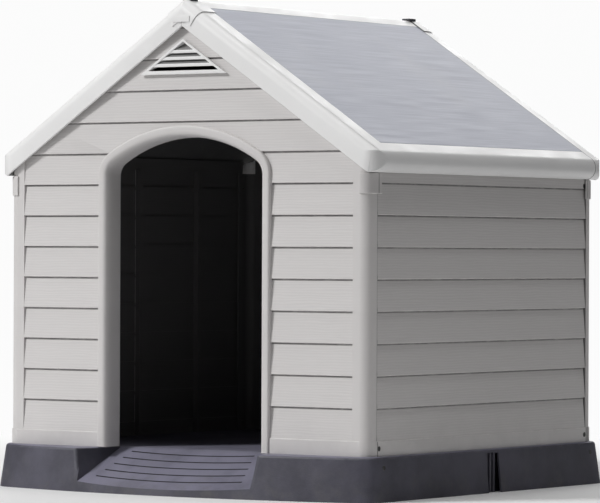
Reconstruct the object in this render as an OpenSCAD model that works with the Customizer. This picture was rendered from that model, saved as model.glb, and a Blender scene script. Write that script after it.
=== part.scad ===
// Gable-roofed outdoor kennel cabin, moulded in resin panels that slot and screw together.
// The front faces -Y. The origin is at the bottom centre of the whole object.

/* [Cabin] */
// Width over the siding of the two side walls
cabin_w = 893; // [820:1:1080]
// Depth over the siding of the front and rear walls
cabin_d = 846; // [760:1:1000]
// Height from the top of the base to the theoretical sharp ridge line
ridge_rise = 898; // [860:1:1000]
// Roof pitch in degrees
pitch = 33.5; // [31:0.5:35]

/* [Siding] */
// Thickness of the wall skins
skin_t = 4; // [3:0.5:5]
// Exposed height of one plank
plank_h = 62.5; // [50:0.5:80]
// How far a plank's lower edge stands out from the top of the plank
plank_lap = 5; // [3:0.5:6]
// Height of the plain rail under the planks
rail_h = 30; // [20:1:40]
// How far that rail stands proud of the planks
rail_proud = 2; // [1:0.5:3]
// Depth of the stiffening ribs inside the walls
rib_depth = 12; // [6:1:20]
// Width of those ribs
rib_w = 10; // [6:1:16]
// Number of ribs inside each side wall
side_ribs = 3; // [2:1:4]
// Distance of those ribs' tops below the top of the wall
side_rib_gap = 25; // [20:1:60]
// Distance of the rear wall's ribs below its vent
rear_rib_gap = 40; // [20:1:80]

/* [Corners] */
// Outer radius of the round corner posts
post_r = 25; // [18:1:30]
// Width of the flat band between a post and the planks
trim_w = 15; // [10:1:25]
// Width of the flat between a front post and the side wall
post_flat = 1; // [0.5:0.5:3]
// Width of the flat between a rear post and the side wall
rear_flat = 7; // [1:0.5:10]
// Length of the tongue that lies behind a side wall
tongue_l = 24; // [16:1:32]
// Thickness of the web that carries the tongue
web_t = 2; // [1.5:0.5:4]
// How far the posts reach up into the eaves
post_lap = 20; // [10:1:24]
// Height of the collars at the tops of the posts
collar_h = 40; // [30:1:60]
// How far a collar stands proud of its post
collar_proud = 3; // [2:0.5:4]

/* [Doorway] */
// Clear width of the doorway
door_w = 378; // [300:1:420]
// Height of the crown of the arch above the base
door_h = 623; // [520:1:640]
// Radius of the flat middle arc of the arch
arch_r = 330; // [280:5:400]
// Radius of the two tight arcs beside it
haunch_r = 32; // [25:1:45]
// Width of the moulded frame around the doorway
frame_w = 23; // [15:1:30]
// How far the frame stands proud of the planks
frame_proud = 6; // [4:0.5:9]
// Depth of the jamb through the wall
jamb_d = 46; // [30:1:60]

/* [Roof] */
// Overhang of the eaves beyond the side walls
eave_out = 24.5; // [18:0.5:32]
// Overhang of the rakes beyond the front and rear walls
rake_out = 10; // [8:0.5:20]
// Radius of the rounded eave
eave_r = 24; // [20:0.5:26]
// Vertical height of the rake boards
rake_h = 54; // [45:1:60]
// Thickness of the roof skin
roof_t = 6; // [5:0.5:8]
// Radius of the roof's corners seen from above
roof_corner_r = 40; // [30:1:50]
// Radius of the rake boards' upper edge
rake_r = 20; // [12:1:24]
// Thickness of the inset roof panels
panel_t = 3; // [2:0.5:4]
// White border in front of a panel
panel_front = 58; // [40:1:80]
// White border between a panel and the outside of the eave
panel_eave = 33; // [30:1:50]
// Half width of the strip along the ridge
ridge_strip = 24; // [18:1:35]
// Depth of the separate rear rakes
rear_rake_d = 44; // [25:1:60]
// Half width of the apex caps
cap_w = 42; // [30:1:50]
// Thickness of the apex caps
cap_t = 2; // [1.5:0.5:3]
// Height of the crest that is cut off both roof halves under the caps
crest_cut = 5; // [4:0.5:7]
// Length of the dark clips on the ridge
clip_l = 25; // [20:1:40]
// Width of those clips
clip_w = 20; // [14:1:30]
// Height of a clip above the cap that it sits on
clip_h = 3; // [2:0.5:8]
// How far a clip reaches down beside the cap's crest
clip_skirt = 6; // [5:0.5:8]
// Distance of the front clip behind the roof's front edge
clip_front_y = 17; // [8:1:30]
// Distance of the rear clip in front of the roof's rear edge
clip_rear_y = 28; // [8:1:34]

/* [Vents] */
// Width of the triangular vents
vent_w = 213; // [150:1:230]
// Height of the vents' lower edge above the base
vent_z = 748; // [720:1:760]
// Width of a vent's two sloping borders
vent_border = 5; // [4:0.5:9]
// Height of its level border
vent_foot = 7.5; // [5:0.5:10]
// How much of the border lies on the siding, outside the hole in the wall
vent_lip = 2.5; // [1.5:0.5:3]
// How far a vent stands proud of the planks
vent_proud = 6; // [4:0.5:8]
// Spacing of the louvre slats
slat_pitch = 13.5; // [12:0.5:22]
// Thickness of a slat, measured upright
slat_h = 6.5; // [4:0.5:8]
// Number of slats
slats = 3; // [2:1:4]
// How far the slats lie behind the border's face
slat_back = 1; // [0:0.5:2]
// Width of the plain plate under the apex
plate_w = 42; // [30:1:50]
// Height of that plate
plate_h = 12; // [8:1:16]
// Thickness of that plate
plate_t = 1.5; // [1:0.5:2]

/* [Base] */
// Height of the base
base_h = 88; // [70:1:110]
// How far the top edge of the base stands outside the siding
base_top_out = 11; // [8:0.5:16]
// How far the bottom edge stands outside the siding
base_bottom_out = 20; // [14:0.5:28]
// Outward bow of the base's front
bow = 64; // [50:1:75]
// Corner radius of the base
base_corner_r = 30; // [20:1:40]
// Thickness of the floor and the skirt
base_t = 4; // [3:0.5:6]
// Spacing of the ribs under the floor
rib_pitch = 87; // [70:1:92]
// Distance of the joint between the base halves behind the front siding
split_y = 428; // [400:1:470]
// Width of the lock recess in each side of the base
lock_w = 48; // [36:1:60]
// Depth of the lock recess
lock_d = 14; // [10:0.5:18]
// Thickness of the floor left above the lock recess
lock_roof = 8; // [5:1:14]
// Thickness of the lock's backing strip
lock_back = 3; // [2:0.5:5]
// Width of the lock's upright ridges
lock_ridge_w = 6; // [4:0.5:8]
// Spacing of those ridges
lock_ridge_pitch = 14; // [12:0.5:18]

/* [Ramp] */
// Distance from the front siding back to the top of the ramp
ramp_back = 48; // [40:1:60]
// Height of the ramp's lip at the front
lip_h = 12; // [8:0.5:20]
// Half width of the ramp's notch at its front, level with the top of the base
ramp_half_w = 232; // [222:1:240]
// Outward lean of the notch's side walls in degrees
ramp_draft = 11; // [6:1:14]
// Number of grooves across the ramp
grooves = 5; // [3:1:7]
// Width of a groove
groove_w = 3; // [2:0.5:4]
// Depth of a groove
groove_depth = 2.4; // [1:0.2:3]
// Spacing of the grooves
groove_pitch = 21; // [15:0.5:24]
// Distance of the first groove from the top of the ramp
groove_start = 22; // [16:1:30]
// Half length of the first groove
groove_half_l = 152; // [120:1:160]
// How much further each next groove reaches to each side
groove_step = 7; // [0:0.5:8]

/* [Fit] */
// Clearance between pieces that fit together
fit = 0.25; // [0.15:0.05:0.4]
// Clearance between the gables and the roof's skin
gable_clear = 1.5; // [1:0.25:3]
// Radius of the screw heads
screw_r = 5; // [3.5:0.5:6]
// Radius of the screw shanks
shank_r = 2.2; // [1.5:0.1:3]
// Height of the screw heads
head_h = 1.9; // [1.5:0.1:2.5]
// Length of the screw shanks
shank_l = 11; // [10:0.5:14]
// Distance of the screws from the ends of the side walls
screw_end = 6; // [6:0.5:9]
// Distance of the upper wall screws below the top of the side walls
screw_drop = 60; // [50:1:80]
// Distance of the base screws below the top of the base
base_screw_drop = 22; // [16:1:40]
// How deep the heads of the wall screws lie in their holes
head_sink = 0.5; // [0:0.1:1]
// Distance of the rake screws from the middle
rake_screw_x = 49; // [46:1:80]

/* [Hidden] */
$fn = 48;

// Overall depth and the siding planes, from the base's bowed front to its rear
front_out = base_bottom_out + bow;
total_d = front_out + cabin_d + base_bottom_out;
y_front = -total_d / 2 + front_out;
y_rear = y_front + cabin_d;
x_side = cabin_w / 2;

// Roof lines
slope = tan(pitch);
ridge_z = base_h + ridge_rise;
roof_half_w = x_side + eave_out;
eave_x = roof_half_w - eave_r;
eave_z = ridge_z - slope * eave_x - eave_r / cos(pitch);
rake_low_z = ridge_z - rake_h;
roof_y0 = y_front - rake_out;
roof_y1 = y_rear + rake_out;
seam_y = roof_y1 - rear_rake_d;
panel_y0 = roof_y0 + panel_front;
panel_x1 = roof_half_w - panel_eave;

crest_half = crest_cut / slope;
cap_drop = rake_h * 0.75; // depth of the caps' front faces
cap_crest_r = 16;
strip_crest_r = 12;
rake_inner_r = 8;
crest_z = ridge_z + (cap_t - cap_crest_r) / cos(pitch) + cap_crest_r; // top of the caps

// Walls
rail_top = base_h + rail_h;
wall_depth = skin_t + plank_lap;
siding_half_w = x_side - post_r - trim_w;
post_flat_x = x_side - post_r;
side_start = post_r + post_flat + fit;
rear_start = post_r + rear_flat + fit;
gable_gap = roof_t / cos(pitch) + gable_clear;
side_wall_top = ridge_z - slope * x_side - roof_t / cos(pitch) - fit;
post_top = rake_low_z - slope * x_side + post_lap;
collar_z = rake_low_z - slope * x_side - collar_h;

// Colours
trim_colour = [0.86, 0.86, 0.85];
siding_colour = [0.80, 0.79, 0.77];
panel_colour = [0.55, 0.57, 0.62];
base_colour = [0.16, 0.16, 0.19];
screw_colour = [0.12, 0.12, 0.12];

big = 3000; // longer than anything here
reach = 100; // how far a cut runs past what it cuts
hole_l = 40; // length of the holes for the screws

// ---------------------------------------------------------------- helpers

// Turns a 2-D outline in X and Z into a slab from y0 to y1
module slab_y(y0, y1) {
    translate([0, y1, 0])
        rotate([90, 0, 0])
            linear_extrude(y1 - y0) children();
}

// Turns a 2-D outline in Y and Z into a slab from x0 to x1
module slab_x(x0, x1) {
    translate([x0, 0, 0])
        rotate([90, 0, 90])
            linear_extrude(x1 - x0) children();
}

// Points along an arc about (cx, cy) from angle a0 to a1
function arc_points(cx, cy, r, a0, a1, steps = 8) = [
    for (k = [0 : steps])
        let (a = a0 + (a1 - a0) * k / steps)
            [cx + r * cos(a), cy + r * sin(a)]
];

module both_sides() {
    children();
    mirror([1, 0, 0]) children();
}

// ---------------------------------------------------------------- siding

// Number of planks between the rail and height z1
function plank_count(z1) = ceil((z1 - rail_top) / plank_h);

// Cross-section of the lap siding up to height z1: outside at 0, inside at negative depth
module siding_profile(z1) {
    n = plank_count(z1);
    outer = [for (k = [0 : n - 1]) each [
        [0, rail_top + k * plank_h],
        [-plank_lap, rail_top + (k + 1) * plank_h]
    ]];
    inner = [for (k = [n - 1 : -1 : 0]) each [
        [-wall_depth, rail_top + (k + 1) * plank_h + skin_t],
        [-skin_t, rail_top + k * plank_h + skin_t]
    ]];
    polygon(concat([[0, base_h]], outer, inner, [[-skin_t, base_h]]));
}

// Plain rail that runs along the foot of a wall
module rail_profile() {
    translate([-wall_depth, base_h])
        square([wall_depth + rail_proud, rail_h]);
}

// ---------------------------------------------------------------- doorway

// Outline of the doorway, grown outwards by g, from foot below the base's top to the crown
module arch(g = 0, foot = 0) {
    half = door_w / 2;
    crown = base_h + door_h;
    centre_z = crown - arch_r;
    side_x = half - haunch_r;
    drop = sqrt(pow(arch_r - haunch_r, 2) - pow(side_x, 2));
    spring_z = centre_z + drop;
    beyond = 2 * arch_r;
    lean = atan2(side_x, drop);
    union() {
        translate([-half - g, base_h - foot])
            square([2 * (half + g), spring_z - base_h + foot]);
        for (s = [-1, 1])
            translate([s * side_x, spring_z])
                circle(haunch_r + g);
        intersection() {
            translate([0, centre_z])
                circle(arch_r + g, $fn = 96);
            polygon([
                [0, centre_z],
                [beyond * sin(lean), centre_z + beyond * cos(lean)],
                [-beyond * sin(lean), centre_z + beyond * cos(lean)]
            ]);
        }
    }
}

// ---------------------------------------------------------------- walls

// The five-sided outline of an end wall, up to the underside of the roof
module gable_outline(half_w) {
    top_z = ridge_z - gable_gap;
    polygon([
        [-half_w, base_h],
        [half_w, base_h],
        [half_w, top_z - slope * half_w],
        [0, top_z],
        [-half_w, top_z - slope * half_w]
    ]);
}

// Triangle with the roof's pitch, w wide, standing on height z
module pitched_triangle(w, z) {
    polygon([[-w / 2, z], [w / 2, z], [0, z + slope * w / 2]]);
}

// The vent's outline and, drawn in behind its lip, the hole in the wall
vent_low_z = base_h + vent_z;
vent_hole_z = vent_low_z + vent_lip;
vent_hole_w = inset_w(vent_w, vent_lip, vent_lip);

// Width of a pitched triangle w wide, once its foot is raised and its slopes are drawn in by side
function inset_w(w, foot, side) = w - 2 * (foot / slope + side / sin(pitch));

// Corner post with its flat front band, a flat at its back and the tongue behind the side wall
module corner_post(flat) {
    translate([0, 0, base_h]) {
        // quarter-round shell
        intersection() {
            translate([post_flat_x, post_r, 0])
                difference() {
                    cylinder(r = post_r, h = post_top - base_h);
                    translate([0, 0, -1])
                        cylinder(r = post_r - skin_t, h = post_top - base_h + 2);
                }
            translate([post_flat_x, 0, 0])
                cube([post_r, post_r, post_top - base_h]);
        }
        // short flat that meets the side wall
        translate([x_side - skin_t, post_r, 0])
            cube([skin_t, flat, post_top - base_h]);
        // tongue behind the side wall
        translate([x_side - wall_depth - fit - skin_t, post_r + flat - web_t, 0]) {
            cube([skin_t, tongue_l, post_top - base_h]);
            cube([wall_depth + fit + skin_t, web_t, post_top - base_h]);
        }
    }
    // foot rail wrapped round the post
    translate([0, 0, base_h])
        intersection() {
            translate([post_flat_x, post_r, 0])
                difference() {
                    cylinder(r = post_r + rail_proud, h = rail_h);
                    translate([0, 0, -1])
                        cylinder(r = post_r - 1, h = rail_h + 2);
                }
            translate([post_flat_x, -rail_proud, 0])
                cube([post_r + rail_proud, post_r + rail_proud, rail_h]);
        }
    // flat band beside the planks
    slab_y(0, wall_depth)
        intersection() {
            translate([siding_half_w, base_h])
                square([trim_w, big]);
            gable_outline(post_flat_x);
        }
}

// An end wall with its outside at Y = 0 and its inside at +Y
module end_wall(has_door) {
    difference() {
        union() {
            intersection() {
                mirror([0, 1, 0])
                    slab_x(-siding_half_w, siding_half_w) siding_profile(ridge_z);
                slab_y(-1, wall_depth + 1) gable_outline(siding_half_w);
            }
            mirror([0, 1, 0])
                slab_x(-post_flat_x, post_flat_x) rail_profile();
            both_sides() corner_post(has_door ? post_flat : rear_flat);
            if (has_door)
                slab_y(-frame_proud, jamb_d - frame_proud) arch(frame_w);
            else
                for (x = [-cabin_w / 6, cabin_w / 6])
                    translate([x - rib_w / 2, wall_depth - 1, base_h])
                        cube([rib_w, rib_depth, vent_z - rear_rib_gap]);
        }
        if (has_door)
            slab_y(-frame_proud - 1, jamb_d + 1) arch(0, 1);
        slab_y(-1, wall_depth + 1)
            pitched_triangle(vent_hole_w, vent_hole_z);
    }
}

module front_wall() {
    color(siding_colour)
        difference() {
            translate([0, y_front, 0]) end_wall(true);
            both_sides() wall_screw_sites() wall_screw_hole();
        }
}

module rear_wall() {
    color(siding_colour)
        difference() {
            translate([0, y_rear, 0]) mirror([0, 1, 0]) end_wall(false);
            both_sides() wall_screw_sites() wall_screw_hole();
        }
}

// Right-hand side wall; the left one is its mirror image
module side_wall() {
    y0 = y_front + side_start;
    y1 = y_rear - rear_start;
    difference() {
        union() {
            intersection() {
                translate([x_side, 0, 0])
                    slab_y(y0, y1) siding_profile(side_wall_top);
                translate([0, y0 - 1, base_h])
                    cube([big, y1 - y0 + 2, side_wall_top - base_h]);
            }
            translate([x_side, 0, 0])
                slab_y(y0, y1) rail_profile();
            for (k = [1 : side_ribs])
                translate([
                    x_side - wall_depth - rib_depth + 1,
                    y_front + cabin_d * k / (side_ribs + 1) - rib_w / 2,
                    base_h
                ])
                    cube([rib_depth, rib_w, side_wall_top - base_h - side_rib_gap]);
        }
        wall_screw_sites() wall_screw_hole();
    }
}

module right_wall() {
    color(siding_colour) side_wall();
}

module left_wall() {
    color(siding_colour) mirror([1, 0, 0]) side_wall();
}

// ---------------------------------------------------------------- collars

// Collar round the top of the front right post
module collar() {
    h = collar_h - fit;
    inner = post_r + fit;
    outer = post_r + collar_proud;
    translate([post_flat_x, y_front + post_r, collar_z])
        intersection() {
            difference() {
                cylinder(r = outer, h = h);
                translate([0, 0, -1])
                    cylinder(r = inner, h = h + 2);
            }
            translate([0, -outer, 0])
                cube([outer, outer, h]);
        }
    // flat wing along the side, as far as the side wall's screw
    translate([x_side + fit, y_front + post_r, collar_z])
        cube([collar_proud - fit, tongue_l / 2, h]);
}

module collar_front_right() {
    color(siding_colour) collar();
}

module collar_front_left() {
    color(siding_colour) mirror([1, 0, 0]) collar();
}

module to_rear() {
    translate([0, y_front + y_rear, 0]) mirror([0, 1, 0]) children();
}

module collar_rear_right() {
    color(siding_colour) to_rear() collar();
}

module collar_rear_left() {
    color(siding_colour) to_rear() mirror([1, 0, 0]) collar();
}

// ---------------------------------------------------------------- roof

// Cross-section of the right half of the roof, drawn in by i
module roof_section(i) {
    drop = (i > 0) ? 200 : 0;
    polygon(concat(
        [[0, ridge_z - i / cos(pitch)]],
        arc_points(eave_x, eave_z, eave_r - i, 90 - pitch, -90, 16),
        [[eave_x, rake_low_z - slope * eave_x - drop], [0, rake_low_z - drop]]
    ));
}

// Plan of the right half of the roof, drawn in by i, with a rounded front corner
module roof_plan(i) {
    r = roof_corner_r - i;
    cx = roof_half_w - roof_corner_r;
    cy = roof_y0 + roof_corner_r;
    beyond = roof_half_w + 5;
    polygon(concat(
        [[-1, roof_y0 + i]],
        arc_points(cx, cy, r, -90, 0),
        [[beyond, cy], [beyond, big], [-1, big]]
    ));
}

// Slab along the slope whose upper front edge is rounded, drawn in by i or grown where i is negative
module rake_edge(i) {
    r = (i > 0) ? rake_inner_r : rake_r - i;
    above = 5;
    translate([0, 0, ridge_z])
        rotate([0, pitch, 0])
            slab_x(-100, 800)
                polygon(concat(
                    [[roof_y0 + i, -big]],
                    arc_points(roof_y0 + i + r, -i - r, r, 180, 90),
                    [[roof_y0 + i + r, above], [big, above], [big, -big]]
                ));
}

module roof_solid(i, y1) {
    intersection() {
        slab_y(roof_y0 - 1, y1) roof_section(i);
        linear_extrude(big) roof_plan(i);
        rake_edge(i);
    }
}

// Space on top of the roof that the panels and the ridge strip fill
module panel_pocket(y1) {
    depth = panel_t + fit;
    translate([0, 0, ridge_z])
        rotate([0, pitch, 0])
            translate([-reach, panel_y0 - fit, -depth])
                cube([reach + panel_x1 / cos(pitch), y1 - panel_y0 + fit, reach]);
}

// What both roof pieces lose: the room for the wall, the flattened crest and the joint at the ridge
module roof_trims() {
    translate([-1, roof_y0 + roof_t, 0])
        cube([x_side + rail_proud + 1, big, eave_z - eave_r / 3]);
    translate([-big / 2, -big / 2, ridge_z - crest_cut])
        cube(big);
    translate([fit / 2 - big, -big / 2, 0])
        cube(big);
}

// Shell of one roof half in front of the rear seam
module roof_frame() {
    difference() {
        roof_solid(0, seam_y - fit);
        roof_solid(roof_t, big);
        roof_trims();
        panel_pocket(seam_y + 1);
    }
}

module roof_frame_right() {
    color(trim_colour) roof_frame();
}

module roof_frame_left() {
    color(trim_colour) mirror([1, 0, 0]) roof_frame();
}

module roof_panel() {
    x0 = ridge_strip / cos(pitch) + fit;
    x1 = panel_x1 / cos(pitch) - fit;
    translate([0, 0, ridge_z])
        rotate([0, pitch, 0])
            translate([x0, panel_y0, -panel_t])
                cube([x1 - x0, seam_y - fit - panel_y0, panel_t]);
}

module roof_panel_right() {
    color(panel_colour) roof_panel();
}

module roof_panel_left() {
    color(panel_colour) mirror([1, 0, 0]) roof_panel();
}

// Separate rake at the rear, from the seam to the rear edge
module rear_rake() {
    to_rear()
        difference() {
            roof_solid(0, roof_y0 + rear_rake_d);
            roof_solid(roof_t, big);
            roof_trims();
        }
}

module rear_rake_right() {
    color(trim_colour) rear_rake();
}

module rear_rake_left() {
    color(trim_colour) mirror([1, 0, 0]) rear_rake();
}

// Chevron from low to high about the roof lines, w to each side, with its crest rounded by r
module chevron(w, low, high, r) {
    d = (high - low) * cos(pitch);
    end_z = ridge_z + high - slope * w;
    crest = arc_points(0, ridge_z + high - r / cos(pitch), r, 90 - pitch, 90 + pitch, 6);
    polygon(concat(
        [[w - d * sin(pitch), end_z - d * cos(pitch)], [w, end_z]],
        crest,
        [[-w, end_z], [-w + d * sin(pitch), end_z - d * cos(pitch)], [0, ridge_z + low]]
    ));
}

module ridge_strip_cap() {
    color(trim_colour)
        slab_y(panel_y0, seam_y - fit)
            chevron(ridge_strip, -panel_t / cos(pitch), 0, strip_crest_r);
}

// Right half of a block over the apex, grown by g beyond the roof, from its front to y1
module cap_half(g, y1) {
    intersection() {
        slab_y(roof_y0 - g, y1)
            chevron(cap_w, -cap_drop, g / cos(pitch), cap_crest_r);
        rake_edge(-g);
        translate([0, -big / 2, 0])
            cube(big);
    }
}

// Saddle over the front apex, rounded at its front like the rakes
module apex_cap(y1) {
    crest_low_z = ridge_z + fit - crest_cut;
    difference() {
        both_sides() cap_half(cap_t, y1);
        both_sides()
            intersection() {
                slab_y(roof_y0 - fit, big)
                    polygon([
                        [-1, crest_low_z],
                        [crest_half, crest_low_z],
                        [cap_w + 1, crest_low_z - slope * (cap_w + 1 - crest_half)],
                        [cap_w + 1, 0],
                        [-1, 0]
                    ]);
                rake_edge(-fit);
            }
    }
}

module apex_cap_front() {
    color(trim_colour) apex_cap(panel_y0 - fit);
}

module apex_cap_rear() {
    color(trim_colour) to_rear() apex_cap(roof_y0 + rear_rake_d - fit);
}

module ridge_clip(y0) {
    difference() {
        translate([-clip_w / 2, y0, crest_z - clip_skirt])
            cube([clip_w, clip_l, clip_h + clip_skirt]);
        slab_y(y0 - 1, y0 + clip_l + 1)
            chevron(cap_w, -cap_drop, (cap_t + fit) / cos(pitch), cap_crest_r);
    }
}

module ridge_clip_front() {
    color(base_colour) ridge_clip(roof_y0 + clip_front_y);
}

module ridge_clip_rear() {
    color(base_colour) to_rear() ridge_clip(roof_y0 + clip_rear_y);
}

// ---------------------------------------------------------------- vents and badge

// Triangular louvre whose outside stands at Y = -vent_proud
module vent() {
    open_w = inset_w(vent_w, vent_foot, vent_border);
    open_z = vent_low_z + vent_foot;
    slat_y = slat_back - vent_proud;
    rise = wall_depth - slat_y;
    difference() {
        union() {
            slab_y(-vent_proud, -fit)
                pitched_triangle(vent_w, vent_low_z);
            slab_y(-vent_proud / 2, wall_depth)
                pitched_triangle(inset_w(vent_hole_w, fit, fit), vent_hole_z + fit);
        }
        slab_y(-vent_proud - 1, wall_depth + 1)
            pitched_triangle(open_w, open_z);
    }
    // slats that rise inwards, let into the border all round
    intersection() {
        slab_y(slat_y, wall_depth)
            pitched_triangle(inset_w(vent_w, vent_foot - 1, vent_border - 1), open_z - 1);
        for (k = [1 : slats])
            translate([0, 0, open_z + k * slat_pitch - slat_h])
                slab_x(-vent_w / 2, vent_w / 2)
                    polygon([
                        [slat_y, 0],
                        [wall_depth, rise],
                        [wall_depth, rise + slat_h],
                        [slat_y, slat_h]
                    ]);
    }
}

module front_vent() {
    color(trim_colour)
        translate([0, y_front, 0]) vent();
}

module rear_vent() {
    color(trim_colour) to_rear() translate([0, y_front, 0]) vent();
}

// Plain plate on the front cap, under its rounding
module badge_plate() {
    color(trim_colour)
        translate([-plate_w / 2, roof_y0 - cap_t - plate_t, ridge_z - cap_drop - plate_h / 2])
            cube([plate_w, plate_t, plate_h]);
}

// ---------------------------------------------------------------- base

// Radius of the front's bow where the base is half wide on each side
function bow_radius(half) = (half * half + bow * bow) / (2 * bow);

// How far the skirt stands outside the siding at height z
function skirt_out(z) = base_bottom_out - (base_bottom_out - base_top_out) * z / base_h;

bow_r = bow_radius(x_side + base_bottom_out);

// Plan of the base, out beyond the siding, with a bowed front and round corners
module base_plan(out) {
    half = x_side + out;
    front_r = bow_radius(half);
    y0 = y_front - out;
    y1 = y_rear + out;
    r = base_corner_r;
    arc_y = y0 - bow + front_r;
    steps = 24;
    a1 = asin((half - r) / front_r);
    polygon(concat(
        [for (k = [0 : steps])
            let (a = -a1 + 2 * a1 * k / steps)
                [front_r * sin(a), arc_y - front_r * cos(a)]],
        [for (a = [-80 : 20 : 0]) [half - r + r * cos(a), y0 + r + r * sin(a)]],
        [for (a = [0 : 15 : 90]) [half - r + r * cos(a), y1 - r + r * sin(a)]],
        [for (a = [90 : 15 : 180]) [-half + r + r * cos(a), y1 - r + r * sin(a)]],
        [for (a = [180 : 20 : 260]) [-half + r + r * cos(a), y0 + r + r * sin(a)]]
    ));
}

// Flared block between the ground and height top, drawn in by i
module base_block(i, top) {
    hull() {
        translate([0, 0, i > 0 ? -1 : 0])
            linear_extrude(1) base_plan(base_bottom_out - i);
        translate([0, 0, top - 1])
            linear_extrude(1) base_plan(skirt_out(top) - i);
    }
}

// The ramp falls from the doorway to the lip, between walls that spread and lean outwards
ramp_run = ramp_back + front_out;
ramp_angle = atan2(base_h - lip_h, ramp_run);
ramp_spread = atan2(ramp_half_w - door_w / 2, ramp_run);

// Everything on the inner side of the notch's right wall, which is moved out by g
module inside_notch_wall(g) {
    translate([door_w / 2 + g / cos(ramp_draft), y_front + ramp_back, base_h])
        rotate([0, 0, ramp_spread])
            rotate([0, ramp_draft, 0])
                translate([-big, -big, -big])
                    cube([big, 2 * big, 2 * big]);
}

// Everything above the ramp between its side walls: lowered by drop and grown by g
module ramp_space(drop, g = 0) {
    intersection() {
        translate([0, y_front + ramp_back + g, base_h - drop])
            rotate([ramp_angle, 0, 0])
                translate([-big / 2, -big, 0])
                    cube([big, big, big]);
        inside_notch_wall(g);
        mirror([1, 0, 0]) inside_notch_wall(g);
    }
}

// Curved grooves across the ramp that follow the bowed front
module ramp_grooves() {
    intersection() {
        union()
            for (k = [0 : grooves - 1]) {
                y = y_front + ramp_back - groove_start - k * groove_pitch;
                half_l = groove_half_l + k * groove_step;
                intersection() {
                    translate([0, y + bow_r, 0])
                        difference() {
                            cylinder(r = bow_r + groove_w / 2, h = base_h, $fn = 360);
                            translate([0, 0, -1])
                                cylinder(r = bow_r - groove_w / 2, h = base_h + 2, $fn = 360);
                        }
                    translate([-half_l, y - groove_w, 0])
                        cube([2 * half_l, groove_w + groove_pitch, base_h]);
                }
            }
        ramp_space(groove_depth);
    }
}

// The floor, the skirt and the ribs of the whole base, before it is split
module base_shell() {
    n = floor(cabin_w / 2 / rib_pitch);
    m = ceil((cabin_d + bow) / rib_pitch);
    difference() {
        union() {
            difference() {
                base_block(0, base_h);
                difference() {
                    base_block(base_t, base_h - base_t);
                    ramp_space(base_t / cos(ramp_angle), base_t);
                }
            }
            intersection() {
                base_block(base_t - 1, base_h - 1);
                union() {
                    for (k = [-n : n])
                        translate([k * rib_pitch - base_t / 2, -total_d, 0])
                            cube([base_t, 2 * total_d, base_h - 1]);
                    for (k = [0 : m])
                        translate([-cabin_w, y_rear - k * rib_pitch - base_t / 2, 0])
                            cube([2 * cabin_w, base_t, base_h - 1]);
                }
            }
        }
        ramp_space(0);
        ramp_grooves();
        both_sides() lock_recess();
        base_screw_sites() base_screw_hole();
    }
}

// Recess across the joint of the two base halves, on the right side
module lock_recess() {
    h = base_h - lock_roof;
    translate([x_side + base_top_out - lock_d, y_front + split_y - lock_w / 2, -1])
        cube([lock_d * 3, lock_w, h + 1]);
}

module base_front() {
    color(base_colour)
        intersection() {
            base_shell();
            translate([-big / 2, y_front + split_y - fit / 2 - big, -1])
                cube([big, big, big]);
        }
}

module base_rear() {
    color(base_colour)
        intersection() {
            base_shell();
            translate([-big / 2, y_front + split_y + fit / 2, -1])
                cube([big, big, big]);
        }
}

// Ridged key that bridges the joint in the recess
module base_lock() {
    x0 = x_side + base_top_out - lock_d + fit;
    y_mid = y_front + split_y;
    h = base_h - lock_roof - fit;
    translate([x0, y_mid - lock_w / 2 + fit, 0])
        cube([lock_back, lock_w - 2 * fit, h]);
    for (k = [-1 : 1])
        translate([x0, y_mid + k * lock_ridge_pitch - lock_ridge_w / 2, 0])
            cube([lock_d - lock_back, lock_ridge_w, h]);
}

module base_lock_right() {
    color(base_colour) base_lock();
}

module base_lock_left() {
    color(base_colour) mirror([1, 0, 0]) base_lock();
}

// ---------------------------------------------------------------- screws

screw_inset = side_start + screw_end;

// Places a child at each screw of the right side wall, pointing inwards along -X
module wall_screw_sites() {
    for (y = [y_front + screw_inset, y_rear - rear_start - screw_end])
        for (z = [base_h + rail_h / 2, side_wall_top - screw_drop])
            translate([x_side + (z < rail_top ? rail_proud : 0), y, z])
                rotate([0, -90, 0]) children();
}

module wall_screw_hole() {
    translate([0, 0, -1])
        cylinder(r = screw_r + fit, h = 1 + head_sink + head_h + fit);
    cylinder(r = shank_r + fit, h = hole_l);
}

module wall_screw() {
    translate([0, 0, head_sink])
        cylinder(r = screw_r, h = head_h);
    cylinder(r = shank_r, h = shank_l);
}

module wall_screws() {
    color(screw_colour) both_sides() wall_screw_sites() wall_screw();
}

// Screws through the skirt near each corner
module base_screw_sites() {
    z = base_h - base_screw_drop;
    both_sides()
        for (y = [y_front + screw_inset, y_rear - screw_inset])
            translate([x_side + skirt_out(z) - fit, y, z])
                rotate([0, -90, 0]) children();
}

module base_screw_hole() {
    translate([0, 0, -hole_l])
        cylinder(r = screw_r + fit, h = hole_l + 1);
    cylinder(r = shank_r + fit, h = hole_l / 2);
}

module base_screws() {
    color(screw_colour)
        base_screw_sites() {
            translate([0, 0, -1])
                cylinder(r = screw_r, h = head_h);
            cylinder(r = shank_r, h = shank_l);
        }
}

// Screws through the rear rakes beside the apex
module rake_screws() {
    z = ridge_z - rake_h / 2 - slope * rake_screw_x;
    color(screw_colour)
        both_sides()
            translate([rake_screw_x, roof_y1, z])
                rotate([-90, 0, 0])
                    cylinder(r = screw_r, h = head_h);
}

base_front();
base_rear();
base_lock_left();
base_lock_right();
front_wall();
rear_wall();
left_wall();
right_wall();
collar_front_left();
collar_front_right();
collar_rear_left();
collar_rear_right();
roof_frame_left();
roof_frame_right();
roof_panel_left();
roof_panel_right();
rear_rake_left();
rear_rake_right();
ridge_strip_cap();
apex_cap_front();
apex_cap_rear();
ridge_clip_front();
ridge_clip_rear();
front_vent();
rear_vent();
badge_plate();
wall_screws();
base_screws();
rake_screws();
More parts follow.
